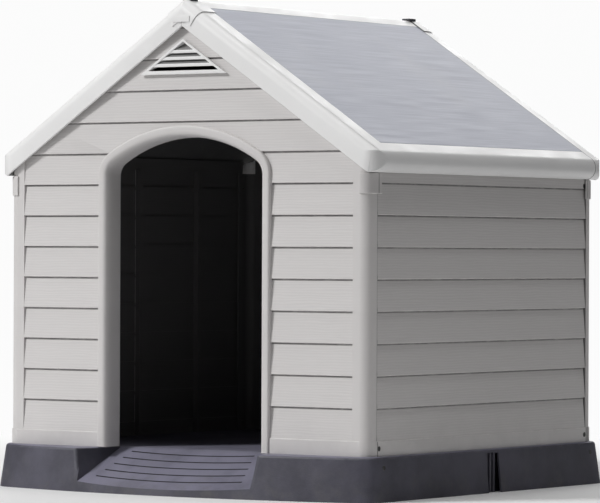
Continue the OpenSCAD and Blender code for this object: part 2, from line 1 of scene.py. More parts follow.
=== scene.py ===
"""Outdoor kennel cabin in moulded resin: its finished pieces, finishes, lights and camera."""

import math

import bmesh
import bpy
from bpy.props import FloatProperty, FloatVectorProperty, PointerProperty
from bpy.types import Operator, Panel, PropertyGroup
from mathutils import Matrix, Vector


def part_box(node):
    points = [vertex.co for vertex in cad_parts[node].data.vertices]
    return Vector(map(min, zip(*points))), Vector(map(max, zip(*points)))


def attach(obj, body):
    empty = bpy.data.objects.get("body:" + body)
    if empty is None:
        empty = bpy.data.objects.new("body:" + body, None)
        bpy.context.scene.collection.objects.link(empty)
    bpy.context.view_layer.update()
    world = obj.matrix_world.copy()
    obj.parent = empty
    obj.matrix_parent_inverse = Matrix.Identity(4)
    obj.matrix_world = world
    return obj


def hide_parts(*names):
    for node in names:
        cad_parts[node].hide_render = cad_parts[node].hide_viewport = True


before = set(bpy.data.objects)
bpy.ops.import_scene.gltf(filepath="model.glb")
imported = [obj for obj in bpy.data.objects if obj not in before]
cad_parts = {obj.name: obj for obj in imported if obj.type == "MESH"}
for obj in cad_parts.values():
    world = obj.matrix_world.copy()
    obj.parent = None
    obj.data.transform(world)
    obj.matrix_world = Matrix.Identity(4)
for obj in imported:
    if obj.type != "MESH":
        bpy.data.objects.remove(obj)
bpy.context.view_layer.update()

bl_info = {
    "name": "Kennel Cabin",
    "version": (1, 0, 0),
    "blender": (4, 5, 0),
    "location": "View3D > Sidebar > Kennel",
    "description": "Builds the finished pieces of a moulded outdoor kennel cabin",
    "category": "Object",
}

MM = 0.001
SIDES = ("left", "right")
ENDS = ("front", "rear")


# ---------------------------------------------------------------- where things are


def low(node, axis):
    """Lowest coordinate of a node along x, y or z."""
    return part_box(node)[0]["xyz".index(axis)]


def high(node, axis):
    """Highest coordinate of a node along x, y or z."""
    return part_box(node)[1]["xyz".index(axis)]


# Sizes that the cabin's mouldings share
FRAME_PROUD = 6 * MM
RAIL_PROUD = 2 * MM
RAIL_H = 30 * MM
PLANK = 62.5 * MM
WALL_DEPTH = 9 * MM
POST_AND_BAND = 41 * MM
FRAME_W = 23 * MM
JAMB = 46 * MM
DOOR_HALF = 189 * MM
DOOR_H = 623 * MM
ARCH_R = 330 * MM
HAUNCH_R = 32 * MM
LIP_H = 12 * MM
RAMP_BACK = 48 * MM
RAMP_RUN = 132 * MM

BASE_TOP = high("base_front", "z")
JOINT = high("base_front", "y")
FRAME_FACE = low("front_wall", "y")
FRONT_SIDING = FRAME_FACE + FRAME_PROUD
REAR_SIDING = high("rear_wall", "y") - RAIL_PROUD
SIDE_SIDING = high("right_wall", "x") - RAIL_PROUD
SIDE_START = low("right_wall", "y")
SIDE_END = high("right_wall", "y")
SEAM = low("rear_rake_right", "y")
RAIL_TOP = BASE_TOP + RAIL_H
RAMP_TOP = FRONT_SIDING + RAMP_BACK
RAMP_SLOPE = (BASE_TOP - LIP_H) / RAMP_RUN
ARCH_CENTRE = BASE_TOP + DOOR_H - ARCH_R
ARCH_SIDE = DOOR_HALF - HAUNCH_R
ARCH_DROP = math.sqrt((ARCH_R - HAUNCH_R) ** 2 - ARCH_SIDE ** 2)
ARCH_SPRING = ARCH_CENTRE + ARCH_DROP


# ---------------------------------------------------------------- sizes and colours


class KennelMoulding(PropertyGroup):
    """Roundings of the moulded edges."""

    plank_edge: FloatProperty(
        name="Plank edge", description="Rounding of a plank's lower edge",
        default=1.6 * MM, unit="LENGTH",
    )
    doorway_edge: FloatProperty(
        name="Doorway edge", description="Rounding of the outer edge of the doorway's surround",
        default=4 * MM, unit="LENGTH",
    )
    doorway_roll: FloatProperty(
        name="Doorway roll", description="Depth over which the surround rolls into the jamb",
        default=30 * MM, unit="LENGTH",
    )
    doorway_roll_width: FloatProperty(
        name="Doorway roll width", description="Width over which the surround rolls into the jamb",
        default=16 * MM, unit="LENGTH",
    )
    roll_power: FloatProperty(
        name="Roll power", description="Fullness of that roll: 1 is an ellipse, and less is squarer",
        default=0.6,
    )
    trim_edge: FloatProperty(
        name="Trim edge", description="Rounding of the roof trim, collars and vents",
        default=1.2 * MM, unit="LENGTH",
    )
    base_edge: FloatProperty(
        name="Base edge", description="Rounding of the base's upper edge",
        default=6 * MM, unit="LENGTH",
    )


class KennelFinish(PropertyGroup):
    """Colours and textures of the resin."""

    siding: FloatVectorProperty(
        name="Siding", description="Colour of the walls and the collars",
        subtype="COLOR", size=4, default=(0.69, 0.668, 0.66, 1),
    )
    trim: FloatVectorProperty(
        name="Trim", description="Colour of the roof trim and the vents",
        subtype="COLOR", size=4, default=(0.87, 0.865, 0.86, 1),
    )
    panel: FloatVectorProperty(
        name="Roof panel", description="Colour of the roof panels",
        subtype="COLOR", size=4, default=(0.385, 0.40, 0.475, 1),
    )
    base: FloatVectorProperty(
        name="Base", description="Colour of the base and the ramp",
        subtype="COLOR", size=4, default=(0.072, 0.070, 0.092, 1),
    )
    clip: FloatVectorProperty(
        name="Clip", description="Colour of the ridge clips",
        subtype="COLOR", size=4, default=(0.06, 0.06, 0.068, 1),
    )
    screw: FloatVectorProperty(
        name="Screw", description="Colour of the blackened screws",
        subtype="COLOR", size=4, default=(0.05, 0.05, 0.05, 1),
    )
    grain_depth: FloatProperty(
        name="Grain depth", description="Depth of the embossed wood grain",
        default=0.5 * MM, unit="LENGTH",
    )


# ---------------------------------------------------------------- finishes


class Finish:
    """A resin or metal finish that is put together node by node."""

    def __init__(self, name, roughness, metallic=0.0, specular=0.5):
        self.material = bpy.data.materials.new(name)
        self.material.use_nodes = True
        self.tree = self.material.node_tree
        self.shader = self.tree.nodes["Principled BSDF"]
        self.shader.inputs["Roughness"].default_value = roughness
        self.shader.inputs["Metallic"].default_value = metallic
        self.shader.inputs["Specular IOR Level"].default_value = specular
        self.place = self.node("ShaderNodeTexCoord").outputs["Object"]

    def node(self, kind, **settings):
        made = self.tree.nodes.new(kind)
        for key, value in settings.items():
            setattr(made, key, value)
        return made

    def feed(self, socket, value):
        if isinstance(value, bpy.types.NodeSocket):
            self.tree.links.new(value, socket)
        else:
            socket.default_value = value

    def math(self, operation, *values):
        made = self.node("ShaderNodeMath", operation=operation)
        for socket, value in zip(made.inputs, values):
            self.feed(socket, value)
        return made.outputs[0]

    def axes(self, vector=None):
        made = self.node("ShaderNodeSeparateXYZ")
        self.feed(made.inputs[0], vector or self.place)
        return made.outputs

    def vector(self, x, y, z):
        made = self.node("ShaderNodeCombineXYZ")
        for socket, value in zip(made.inputs, (x, y, z)):
            self.feed(socket, value)
        return made.outputs[0]

    def noise(self, scale, vector=None, detail=4.0, roughness=0.55, distortion=0.0):
        made = self.node("ShaderNodeTexNoise")
        self.feed(made.inputs["Vector"], vector or self.place)
        made.inputs["Scale"].default_value = scale
        made.inputs["Detail"].default_value = detail
        made.inputs["Roughness"].default_value = roughness
        made.inputs["Distortion"].default_value = distortion
        return made.outputs["Fac"]

    def ramp(self, value, low_in, high_in, low_out=0.0, high_out=1.0):
        made = self.node("ShaderNodeMapRange", interpolation_type="SMOOTHSTEP")
        for socket, v in zip(made.inputs, (value, low_in, high_in, low_out, high_out)):
            self.feed(socket, v)
        return made.outputs[0]

    def mix(self, amount, first, second):
        made = self.node("ShaderNodeMix", data_type="RGBA")
        self.feed(made.inputs["Factor"], amount)
        self.feed(made.inputs[6], first)
        self.feed(made.inputs[7], second)
        return made.outputs[2]

    def shade(self, colour, factor):
        """The colour made lighter or darker by a factor."""
        return tuple(min(1.0, c * factor) for c in colour[:3]) + (1.0,)

    def edge_wear_and_highlight(self):
        """1 on the rounded edges of a piece, broken up by noise, and 0 elsewhere; the finishes make
        these edges paler, partly as wear and partly as a painted highlight.
        """
        edge = self.node("ShaderNodeAttribute", attribute_name="edge").outputs["Fac"]
        patches = self.ramp(self.noise(35.0), 0.42, 0.62, 0.25, 1.0)
        return self.math("MULTIPLY", edge, patches)

    def relief(self, *heights):
        """Chains bumps, each given as (height, depth in metres, strength)."""
        normal = None
        for height, depth, strength in heights:
            bump = self.node("ShaderNodeBump")
            bump.inputs["Distance"].default_value = depth
            bump.inputs["Strength"].default_value = strength
            self.feed(bump.inputs["Height"], height)
            if normal is not None:
                self.feed(bump.inputs["Normal"], normal)
            normal = bump.outputs[0]
        self.feed(self.shader.inputs["Normal"], normal)

    def colour(self, value):
        self.feed(self.shader.inputs["Base Color"], value)

    def roughness(self, value):
        self.feed(self.shader.inputs["Roughness"], value)


def lap_shade(f, z, wooden):
    """How much painted shade lies on a plank, close under the lap of the next one."""
    planks = f.math("DIVIDE", f.math("SUBTRACT", z, RAIL_TOP), PLANK)
    height = f.math("FRACT", planks)
    band = f.math("MULTIPLY", f.ramp(height, 0.93, 0.965), f.ramp(planks, 0.4, 0.6))
    broken = f.ramp(f.noise(40.0, detail=4.0), 0.2, 0.6, 0.55, 0.85)
    return f.math("MULTIPLY", f.math("MULTIPLY", band, broken), wooden)


def inward(f):
    """1 on the faces inside the cabin, behind the doorway's jambs, where the finishes paint shade."""
    x, y = f.axes()[:2]
    nx, ny = f.axes(f.node("ShaderNodeTexCoord").outputs["Normal"])[:2]
    away = f.math("ADD", f.math("MULTIPLY", x, nx), f.math("MULTIPLY", y, ny))
    behind = f.ramp(y, FRAME_FACE + JAMB, FRAME_FACE + JAMB + 2 * MM)
    inner = WALL_DEPTH + 0.4 * MM
    within = f.math(
        "MULTIPLY",
        f.ramp(f.math("ABSOLUTE", x), SIDE_SIDING - inner, SIDE_SIDING - inner - 0.2 * MM),
        f.ramp(y, REAR_SIDING - inner, REAR_SIDING - inner - 0.2 * MM),
    )
    return f.math("MULTIPLY", f.math("MAXIMUM", f.ramp(away, -0.02, -0.06), within), behind)


def joint_shade_line(f, *places):
    """1 along the thin joints between pieces, at the given places along Y, where a dark line is
    painted, partly the joint itself and partly painted shade in its gap.
    """
    y = f.axes()[1]
    line = None
    for place in places:
        off = f.math("ABSOLUTE", f.math("SUBTRACT", y, place))
        near = f.ramp(off, 1.5 * MM, 0.9 * MM)
        line = near if line is None else f.math("MAXIMUM", line, near)
    return line


def siding_finish(looks):
    """Warm grey resin with an embossed wood grain that starts anew on each plank."""
    f = Finish("siding_resin", 0.55)
    x, y, z = f.axes()
    board = f.math("FLOOR", f.math("DIVIDE", f.math("SUBTRACT", z, RAIL_TOP), PLANK))
    shift = f.node("ShaderNodeTexWhiteNoise", noise_dimensions="1D")
    f.feed(shift.inputs["W"], board)
    shift = f.math("MULTIPLY", shift.outputs["Value"], 7.0)
    along = f.vector(
        f.math("ADD", f.math("MULTIPLY", x, 5.0), shift),
        f.math("ADD", f.math("MULTIPLY", y, 5.0), shift),
        f.math("MULTIPLY", z, 170.0),
    )
    streaks = f.noise(2.2, along, detail=6.0, roughness=0.62, distortion=0.25)
    figure = f.node("ShaderNodeTexWave", wave_type="BANDS", bands_direction="Z")
    f.feed(figure.inputs["Vector"], f.vector(
        f.math("ADD", f.math("MULTIPLY", x, 1.6), shift),
        f.math("ADD", f.math("MULTIPLY", y, 1.6), shift),
        f.math("MULTIPLY", z, 9.0),
    ))
    figure.inputs["Scale"].default_value = 6.5
    figure.inputs["Distortion"].default_value = 5.0
    figure.inputs["Detail"].default_value = 3.0
    figure.inputs["Detail Scale"].default_value = 1.3
    grain = f.math("ADD", f.math("MULTIPLY", streaks, 0.7),
                   f.math("MULTIPLY", figure.outputs["Fac"], 0.3))
    pores = f.noise(1.0, f.vector(
        f.math("MULTIPLY", x, 60.0), f.math("MULTIPLY", y, 60.0), f.math("MULTIPLY", z, 900.0)
    ), detail=2.0)
    base = looks.siding
    flat = f.node("ShaderNodeAttribute", attribute_name="flat").outputs["Fac"]
    wooden = f.math("SUBTRACT", 1.0, flat)
    tone = f.mix(f.ramp(grain, 0.3, 0.75), f.shade(base, 0.96), f.shade(base, 1.03))
    tone = f.mix(f.math("MULTIPLY", flat, 0.9), tone, base)
    board_tone = f.node("ShaderNodeTexWhiteNoise", noise_dimensions="1D")
    f.feed(board_tone.inputs["W"], f.math("ADD", board, 13.5))
    tone = f.mix(f.math("MULTIPLY", board_tone.outputs["Value"], 0.25), tone, f.shade(base, 0.94))
    tone = f.mix(f.ramp(f.noise(3.0, detail=3.0), 0.45, 0.8, 0.0, 0.35), tone, f.shade(base, 0.92))
    soil = f.math("MULTIPLY", f.ramp(z, BASE_TOP + 90 * MM, BASE_TOP, 0.0, 0.4),
                  f.ramp(f.noise(14.0, detail=5.0), 0.35, 0.7))
    tone = f.mix(soil, tone, f.shade(base, 0.80))
    # painted shade under the lap of each plank
    tone = f.mix(lap_shade(f, z, wooden), tone, f.shade(base, 0.22))
    outer = f.ramp(f.math("ABSOLUTE", x), SIDE_SIDING - 6 * MM, SIDE_SIDING - 5 * MM)
    joint = f.math("MULTIPLY", joint_shade_line(f, SIDE_START, SIDE_END), outer)
    # dark line along the side walls' joints, partly painted shade in the gap
    tone = f.mix(f.math("MULTIPLY", joint, 0.75), tone, f.shade(base, 0.2))
    # painted shade: the faces inside the cabin drawn darker than the resin
    tone = f.mix(inward(f), tone, f.shade(base, 0.28))
    # paler edges, partly wear and partly a painted highlight
    tone = f.mix(f.math("MULTIPLY", f.edge_wear_and_highlight(), 0.6), tone, f.shade(base, 1.25))
    f.colour(tone)
    f.roughness(f.ramp(grain, 0.3, 0.7, 0.62, 0.48))
    f.relief((f.math("MULTIPLY", grain, wooden), looks.grain_depth, 0.4), (pores, 0.15 * MM, 0.25))
    return f.material


def trim_finish(looks):
    """Satin resin with a fine leathery texture."""
    f = Finish("trim_resin", 0.42)
    base = looks.trim
    cloud = f.ramp(f.noise(5.0, detail=4.0), 0.35, 0.75, 0.0, 0.5)
    tone = f.mix(cloud, f.shade(base, 1.02), f.shade(base, 0.95))
    specks = f.ramp(f.noise(240.0, detail=2.0), 0.62, 0.72, 0.0, 0.12)
    tone = f.mix(specks, tone, f.shade(base, 0.85))
    # paler edges, partly wear and partly a painted highlight
    tone = f.mix(f.math("MULTIPLY", f.edge_wear_and_highlight(), 0.4), tone, f.shade(base, 1.15))
    recess = f.node("ShaderNodeAttribute", attribute_name="recess").outputs["Fac"]
    # painted shade on the slopes of the vent slats
    tone = f.mix(recess, tone, f.shade(base, 0.3))
    # dark line along the roof seam, partly painted shade in the gap
    tone = f.mix(f.math("MULTIPLY", joint_shade_line(f, SEAM), 0.8), tone, f.shade(base, 0.2))
    nz = f.axes(f.node("ShaderNodeTexCoord").outputs["Normal"])[2]
    # painted shade on the inner faces that look downwards, under the roof
    under = f.math("MULTIPLY", inward(f), f.ramp(nz, -0.2, -0.4))
    tone = f.mix(under, tone, f.shade(base, 0.25))
    f.colour(tone)
    f.roughness(f.ramp(f.noise(18.0, detail=4.0), 0.3, 0.7, 0.36, 0.52))
    f.relief((f.noise(620.0, detail=3.0), 0.12 * MM, 0.4), (f.noise(9.0), 1.2 * MM, 0.12))
    return f.material


def panel_finish(looks):
    """Blue-grey resin with fine lines that run along the ridge."""
    f = Finish("roof_panel_resin", 0.5)
    x, y = f.axes()[:2]
    across = f.math("ABSOLUTE", x)
    lines = f.noise(1.0, f.vector(
        f.math("MULTIPLY", across, 420.0), f.math("MULTIPLY", y, 5.0), 0.0
    ), detail=4.0, roughness=0.6)
    wide = f.noise(1.0, f.vector(
        f.math("MULTIPLY", across, 60.0), f.math("MULTIPLY", y, 1.8), 0.0
    ), detail=3.0)
    base = looks.panel
    tone = f.mix(f.ramp(lines, 0.34, 0.68), f.shade(base, 0.94), f.shade(base, 1.05))
    tone = f.mix(f.ramp(wide, 0.4, 0.7, 0.0, 0.3), tone, f.shade(base, 0.95))
    tone = f.mix(f.ramp(f.noise(4.0, detail=5.0), 0.5, 0.8, 0.0, 0.25), tone, (0.5, 0.5, 0.5, 1))
    # paler edges, partly wear and partly a painted highlight
    tone = f.mix(f.math("MULTIPLY", f.edge_wear_and_highlight(), 0.5), tone, f.shade(base, 1.3))
    f.colour(tone)
    f.roughness(f.ramp(lines, 0.3, 0.7, 0.58, 0.44))
    f.relief((lines, 0.25 * MM, 0.3), (f.noise(500.0, detail=2.0), 0.1 * MM, 0.3))
    return f.material


def base_finish(looks, name="base_resin", colour=None, pebble=1.0):
    """Near-black resin with a pebbled skin, dust in its lower part, painted light on its upward faces,
    painted shade in the ramp's grooves, and paler edges, partly rubbed and partly a painted highlight.
    """
    f = Finish(name, 0.5, specular=0.45)
    z = f.axes()[2]
    base = colour or looks.base
    cells = f.node("ShaderNodeTexVoronoi", feature="SMOOTH_F1")
    f.feed(cells.inputs["Vector"], f.place)
    cells.inputs["Scale"].default_value = 330.0
    cells.inputs["Smoothness"].default_value = 0.6
    skin = f.math("SUBTRACT", 1.0, cells.outputs["Distance"])
    cloud = f.noise(7.0, detail=6.0, roughness=0.65)
    tone = f.mix(f.ramp(cloud, 0.35, 0.7), f.shade(base, 0.8), f.shade(base, 1.35))
    nz = f.axes(f.node("ShaderNodeTexCoord").outputs["Normal"])[2]
    # painted light on the faces that look upwards, such as the ramp
    upward_painted_light = f.math("MULTIPLY", f.ramp(nz, 0.6, 0.85),
                     f.ramp(f.noise(16.0, detail=5.0), 0.2, 0.6, 0.5, 1.0))
    tone = f.mix(upward_painted_light, tone, f.shade(base, 3.0))
    dust = f.math("MULTIPLY", f.ramp(f.noise(22.0, detail=6.0, roughness=0.7), 0.45, 0.75),
                  f.ramp(z, 70 * MM, 0.0, 0.10, 0.45))
    tone = f.mix(dust, tone, (0.13, 0.125, 0.12, 1))
    # paler edges, partly wear and partly a painted highlight
    tone = f.mix(f.math("MULTIPLY", f.edge_wear_and_highlight(), 0.35), tone, (0.16, 0.16, 0.18, 1))
    recess = f.node("ShaderNodeAttribute", attribute_name="recess").outputs["Fac"]
    # painted shade in the ramp's grooves
    tone = f.mix(recess, tone, f.shade(base, 0.08))
    f.colour(tone)
    f.roughness(f.ramp(cloud, 0.3, 0.75, 0.42, 0.56))
    f.relief((skin, 0.45 * MM, 0.4 * pebble), (f.noise(60.0, detail=4.0), 0.5 * MM, 0.15))
    return f.material


def screw_finish(looks):
    """Blackened steel, brighter on its rims, partly rubbed and partly a painted highlight."""
    f = Finish("blackened_screw", 0.35, metallic=0.9)
    base = looks.screw
    scuffs = f.ramp(f.noise(900.0, detail=4.0), 0.5, 0.66)
    tone = f.mix(scuffs, base, f.shade(base, 3.0))
    # brighter rims, partly wear and partly a painted highlight
    tone = f.mix(f.math("MULTIPLY", f.edge_wear_and_highlight(), 0.7), tone, (0.4, 0.39, 0.37, 1))
    f.colour(tone)
    f.roughness(f.ramp(scuffs, 0.0, 1.0, 0.28, 0.5))
    f.relief((f.noise(1500.0, detail=2.0), 0.05 * MM, 0.4))
    return f.material


FINISHES = {}


def make_finishes(looks):
    FINISHES["siding"] = siding_finish(looks)
    FINISHES["trim"] = trim_finish(looks)
    FINISHES["roof_panel"] = panel_finish(looks)
    FINISHES["base"] = base_finish(looks)
    FINISHES["clip"] = base_finish(looks, "clip_resin", looks.clip, pebble=0.5)
    FINISHES["screw"] = screw_finish(looks)


# ---------------------------------------------------------------- pieces


JOIN_WITHIN = 0.004 * MM
FLAT_ANGLE = math.radians(0.4)
SHARP_ANGLE = math.radians(28)
SMOOTH_ANGLE = math.radians(32)


def object_from(bm, name, material):
    mesh = bpy.data.meshes.new(name)
    bm.to_mesh(mesh)
    bm.free()
    made = bpy.data.objects.new(name, mesh)
    bpy.context.scene.collection.objects.link(made)
    mesh.materials.append(material)
    return made


def piece_from(bm, name, slot):
    """Turns a bmesh into a shown piece that rides on the body and wears its slot's finish."""
    piece = object_from(bm, name, FINISHES[slot])
    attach(piece, "root")
    return piece


def middle(edge):
    return (edge.verts[0].co + edge.verts[1].co) / 2


def round_edges(bm, radius, chosen, segments=3):
    """Rounds the sharp outward edges that chosen(edge) picks, and marks the new faces as edge."""
    mark = bm.faces.layers.float.get("edge") or bm.faces.layers.float.new("edge")
    edges = [
        e for e in bm.edges
        if len(e.link_faces) == 2 and e.is_convex
        and e.calc_face_angle(0.0) > SHARP_ANGLE and chosen(e)
    ]
    if not edges:
        return
    made = bmesh.ops.bevel(
        bm, geom=edges, offset=radius, offset_type="OFFSET", affect="EDGES",
        segments=segments, profile=0.5, clamp_overlap=False, loop_slide=True,
    )
    for face in made["faces"]:
        face[mark] = 1.0


def outline_of(node):
    """A bmesh of a node's moulding, with its vertices joined and its flat faces whole."""
    bm = bmesh.new()
    bm.from_mesh(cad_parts[node].data)
    bmesh.ops.remove_doubles(bm, verts=bm.verts, dist=JOIN_WITHIN)
    bmesh.ops.dissolve_limit(
        bm, angle_limit=FLAT_ANGLE, verts=bm.verts, edges=bm.edges,
        use_dissolve_boundaries=False,
    )
    return bm


def moulding(node, slot, roundings, prepare=None):
    """The finished form of a node: its edges rounded, and its flat faces kept flat by their normals."""
    bm = outline_of(node)
    if prepare:
        prepare(bm)
    for radius, segments, chosen in roundings:
        round_edges(bm, radius, chosen, segments)
    for edge in bm.edges:
        edge.smooth = edge.calc_face_angle(0.0) < SMOOTH_ANGLE
    for face in bm.faces:
        face.smooth = True
    piece = piece_from(bm, node + "_moulding", slot)
    normals = piece.modifiers.new("flat faces", "WEIGHTED_NORMAL")
    normals.keep_sharp = True
    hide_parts(node)
    return piece


def mark_plain(bm, node):
    """Marks the faces of a wall that lie beside the planks: posts, bands and rail."""
    mark = bm.faces.layers.float.new("flat")
    edge = SIDE_SIDING - POST_AND_BAND
    for face in bm.faces:
        m = face.calc_center_median()
        plain = m.z < RAIL_TOP + 0.5 * MM or abs(m.x) > edge
        if node in ("left_wall", "right_wall"):
            plain = m.z < RAIL_TOP + 0.5 * MM
        face[mark] = 1.0 if plain else 0.0


def wall_parts(node):
    """The work on a wall's outline before its edges are rounded."""
    def prepare(bm):
        if node == "front_wall":
            doorway_gap(bm)
        mark_plain(bm, node)

    return prepare


def slat_tops(bm):
    """Marks the slopes of the slats for painted shade, as they lie in the shade of the slats above."""
    mark = bm.faces.layers.float.new("recess")
    for face in bm.faces:
        n = face.normal
        face[mark] = 1.0 if abs(n.x) < 0.05 and abs(n.y) > 0.3 and abs(n.z) > 0.3 else 0.0


def all_plain(bm):
    """Marks every face as plain, without planks."""
    mark = bm.faces.layers.float.new("flat")
    for face in bm.faces:
        face[mark] = 1.0


def everywhere(edge):
    return True


def arch_distance(x, z):
    """How far a point of the wall lies outside the doorway's outline."""
    side = max(abs(x) - ARCH_SIDE, 0.0)
    if z < ARCH_SPRING:
        return abs(x) - DOOR_HALF
    if side > 0 and side * ARCH_DROP > ARCH_SIDE * (z - ARCH_SPRING):
        return math.hypot(side, z - ARCH_SPRING) - HAUNCH_R
    return math.hypot(x, z - ARCH_CENTRE) - ARCH_R


def arch_outline(g):
    """Points in X and Z along the doorway's outline, grown by g, from foot to foot."""
    lean = math.atan2(ARCH_SIDE, ARCH_DROP)
    right = [(DOOR_HALF + g, BASE_TOP + (ARCH_SPRING - BASE_TOP) * k / 8) for k in range(9)]
    for k in range(1, 15):
        a = (math.pi / 2 - lean) * k / 14
        r = HAUNCH_R + g
        right.append((ARCH_SIDE + r * math.cos(a), ARCH_SPRING + r * math.sin(a)))
    for k in range(1, 25):
        a = lean * (1 - k / 24)
        r = ARCH_R + g
        right.append((r * math.sin(a), ARCH_CENTRE + r * math.cos(a)))
    return [(-x, z) for x, z in right] + [(x, z) for x, z in reversed(right[:-1])]


def doorway_gap(bm):
    """Takes the square-edged frame round the doorway out of the front wall."""
    doomed = []
    for face in bm.faces:
        m = face.calc_center_median()
        g = arch_distance(m.x, m.z)
        on_face = abs(m.y - FRAME_FACE) < 0.2 * MM and g < FRAME_W + 1 * MM
        in_jamb = abs(g) < 1 * MM and abs(face.normal.y) < 0.1 and m.y < FRAME_FACE + JAMB
        rim = abs(g - FRAME_W) < 1 * MM and abs(face.normal.y) < 0.1 and m.y < FRONT_SIDING + 3 * MM
        if (on_face or in_jamb or rim) and m.z > BASE_TOP + 0.5 * MM:
            doomed.append(face)
    bmesh.ops.delete(bm, geom=doomed, context="FACES")


def doorway_surround(sizes):
    """The rolled moulding that runs round the doorway, from the planks into the jamb."""
    r = sizes.doorway_edge
    section = [(FRAME_W, FRONT_SIDING + 8 * MM), (FRAME_W, FRAME_FACE + r)]
    for k in range(1, 6):
        a = math.pi / 2 * k / 5
        section.append((FRAME_W - r * (1 - math.cos(a)), FRAME_FACE + r * (1 - math.sin(a))))
    wide, deep = sizes.doorway_roll_width, sizes.doorway_roll
    for k in range(21):
        a = math.pi / 2 * k / 20
        across = 1 - math.sin(a) ** sizes.roll_power
        along = 1 - max(math.cos(a), 0.0) ** sizes.roll_power
        section.append((wide * across, FRAME_FACE + deep * along))
    section.append((0.0, FRAME_FACE + JAMB))
    bm = bmesh.new()
    rows = [[bm.verts.new((x, y, z)) for x, z in arch_outline(g)] for g, y in section]
    for first, second in zip(rows, rows[1:]):
        for k in range(len(first) - 1):
            bm.faces.new((first[k], second[k], second[k + 1], first[k + 1])).smooth = True
    bmesh.ops.recalc_face_normals(bm, faces=bm.faces)
    front = min(bm.faces, key=lambda f: f.calc_center_median().y)
    if front.normal.y > 0:
        bmesh.ops.reverse_faces(bm, faces=bm.faces)
    plain = bm.faces.layers.float.new("flat")
    for face in bm.faces:
        face[plain] = 1.0
    return piece_from(bm, "doorway_surround", "siding")


def wall_edges(node, sizes):
    """Which edges of a wall are rounded, and by how much."""
    low_corner, high_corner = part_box(node)
    centre = (low_corner + high_corner) / 2

    def outside(edge):
        m = middle(edge)
        if min(v.co.z for v in edge.verts) < BASE_TOP + 0.1 * MM:
            return False
        if node in ("front_wall", "rear_wall"):
            side = -1 if node == "front_wall" else 1
            reach = (m.y - centre.y) * side
            face = ((low_corner.y if side < 0 else high_corner.y) - centre.y) * side
            depth = 14 * MM if node == "front_wall" else 8 * MM
            level = abs(edge.verts[0].co.z - edge.verts[1].co.z) < 0.1 * MM
            return reach > face - depth and level and edge.calc_length() > 12 * MM
        side = -1 if node == "left_wall" else 1
        level = abs(edge.verts[0].co.z - edge.verts[1].co.z) < 0.1 * MM
        return m.x * side > SIDE_SIDING - 4 * MM and level and edge.calc_length() > 20 * MM

    return [(sizes.plank_edge, 3, outside)]


def base_grooves(bm):
    """Marks the walls and floors of the ramp's grooves, which get painted shade."""
    mark = bm.faces.layers.float.new("recess")
    for face in bm.faces:
        m = face.calc_center_median()
        under = BASE_TOP - (RAMP_TOP - m.y) * RAMP_SLOPE - m.z
        groove = 0.3 * MM < under < 4 * MM and m.y < RAMP_TOP and abs(m.x) < DOOR_HALF + 5 * MM
        face[mark] = 1.0 if groove and face.calc_area() < 0.0012 else 0.0


def base_ring(bm):
    """Takes out the thin band just under the base's upper edge, so that the edge can be rounded."""
    base_grooves(bm)
    band = [
        e for e in bm.edges
        if all(abs(v.co.z - (BASE_TOP - 1 * MM)) < 0.05 * MM for v in e.verts)
        and len(e.link_faces) == 2 and e.calc_face_angle(0.0) < math.radians(10)
        and e.is_convex
    ]
    if band:
        bmesh.ops.dissolve_edges(bm, edges=band, use_verts=True)


def base_rim(edge):
    """The base's upper edge, with the edges of the ramp's notch and their ends at the front."""
    a, b = (v.co for v in edge.verts)
    on_top = abs(a.z - BASE_TOP) < 0.1 * MM and abs(b.z - BASE_TOP) < 0.1 * MM
    m = (a + b) / 2
    at_joint = abs(a.y - b.y) < 0.1 * MM and abs(m.y - JOINT) < 2 * MM
    notch_end = abs(a.z - b.z) > 30 * MM and abs(m.x) < DOOR_HALF + 90 * MM and m.y < FRAME_FACE
    return (on_top and not at_joint) or notch_end


# ---------------------------------------------------------------- operators


class KENNEL_OT_finishes(Operator):
    """Makes the resin and screw finishes"""

    bl_idname = "kennel.finishes"
    bl_label = "Finishes"

    def execute(self, context):
        make_finishes(context.scene.kennel_finish)
        return {"FINISHED"}


class KENNEL_OT_walls(Operator):
    """Makes the plank-sided walls with the doorway's frame"""

    bl_idname = "kennel.walls"
    bl_label = "Walls"

    def execute(self, context):
        sizes = context.scene.kennel_moulding
        for node in ("front_wall", "rear_wall", "left_wall", "right_wall"):
            moulding(node, "siding", wall_edges(node, sizes), wall_parts(node))
        doorway_surround(sizes)
        for end in ENDS:
            for side in SIDES:
                node = f"collar_{end}_{side}"
                moulding(node, "siding", [(sizes.trim_edge, 3, everywhere)], all_plain)
        return {"FINISHED"}


class KENNEL_OT_roof(Operator):
    """Makes the roof's trim, its panels, ridge, caps and clips"""

    bl_idname = "kennel.roof"
    bl_label = "Roof"

    def execute(self, context):
        sizes = context.scene.kennel_moulding
        soft = [(sizes.trim_edge, 3, everywhere)]
        fine = [(sizes.trim_edge * 0.6, 2, everywhere)]
        for side in SIDES:
            moulding(f"roof_frame_{side}", "trim", soft)
            moulding(f"rear_rake_{side}", "trim", soft)
            moulding(f"roof_panel_{side}", "roof_panel", fine)
        moulding("ridge_strip_cap", "trim", fine)
        for end in ENDS:
            moulding(f"apex_cap_{end}", "trim", fine)
            moulding(f"ridge_clip_{end}", "clip", soft)
        moulding("badge_plate", "trim", fine)
        return {"FINISHED"}


class KENNEL_OT_vents(Operator):
    """Makes the triangular louvred vents"""

    bl_idname = "kennel.vents"
    bl_label = "Vents"

    def execute(self, context):
        sizes = context.scene.kennel_moulding
        for end in ENDS:
            moulding(f"{end}_vent", "trim", [(sizes.trim_edge, 3, everywhere)], slat_tops)
        return {"FINISHED"}


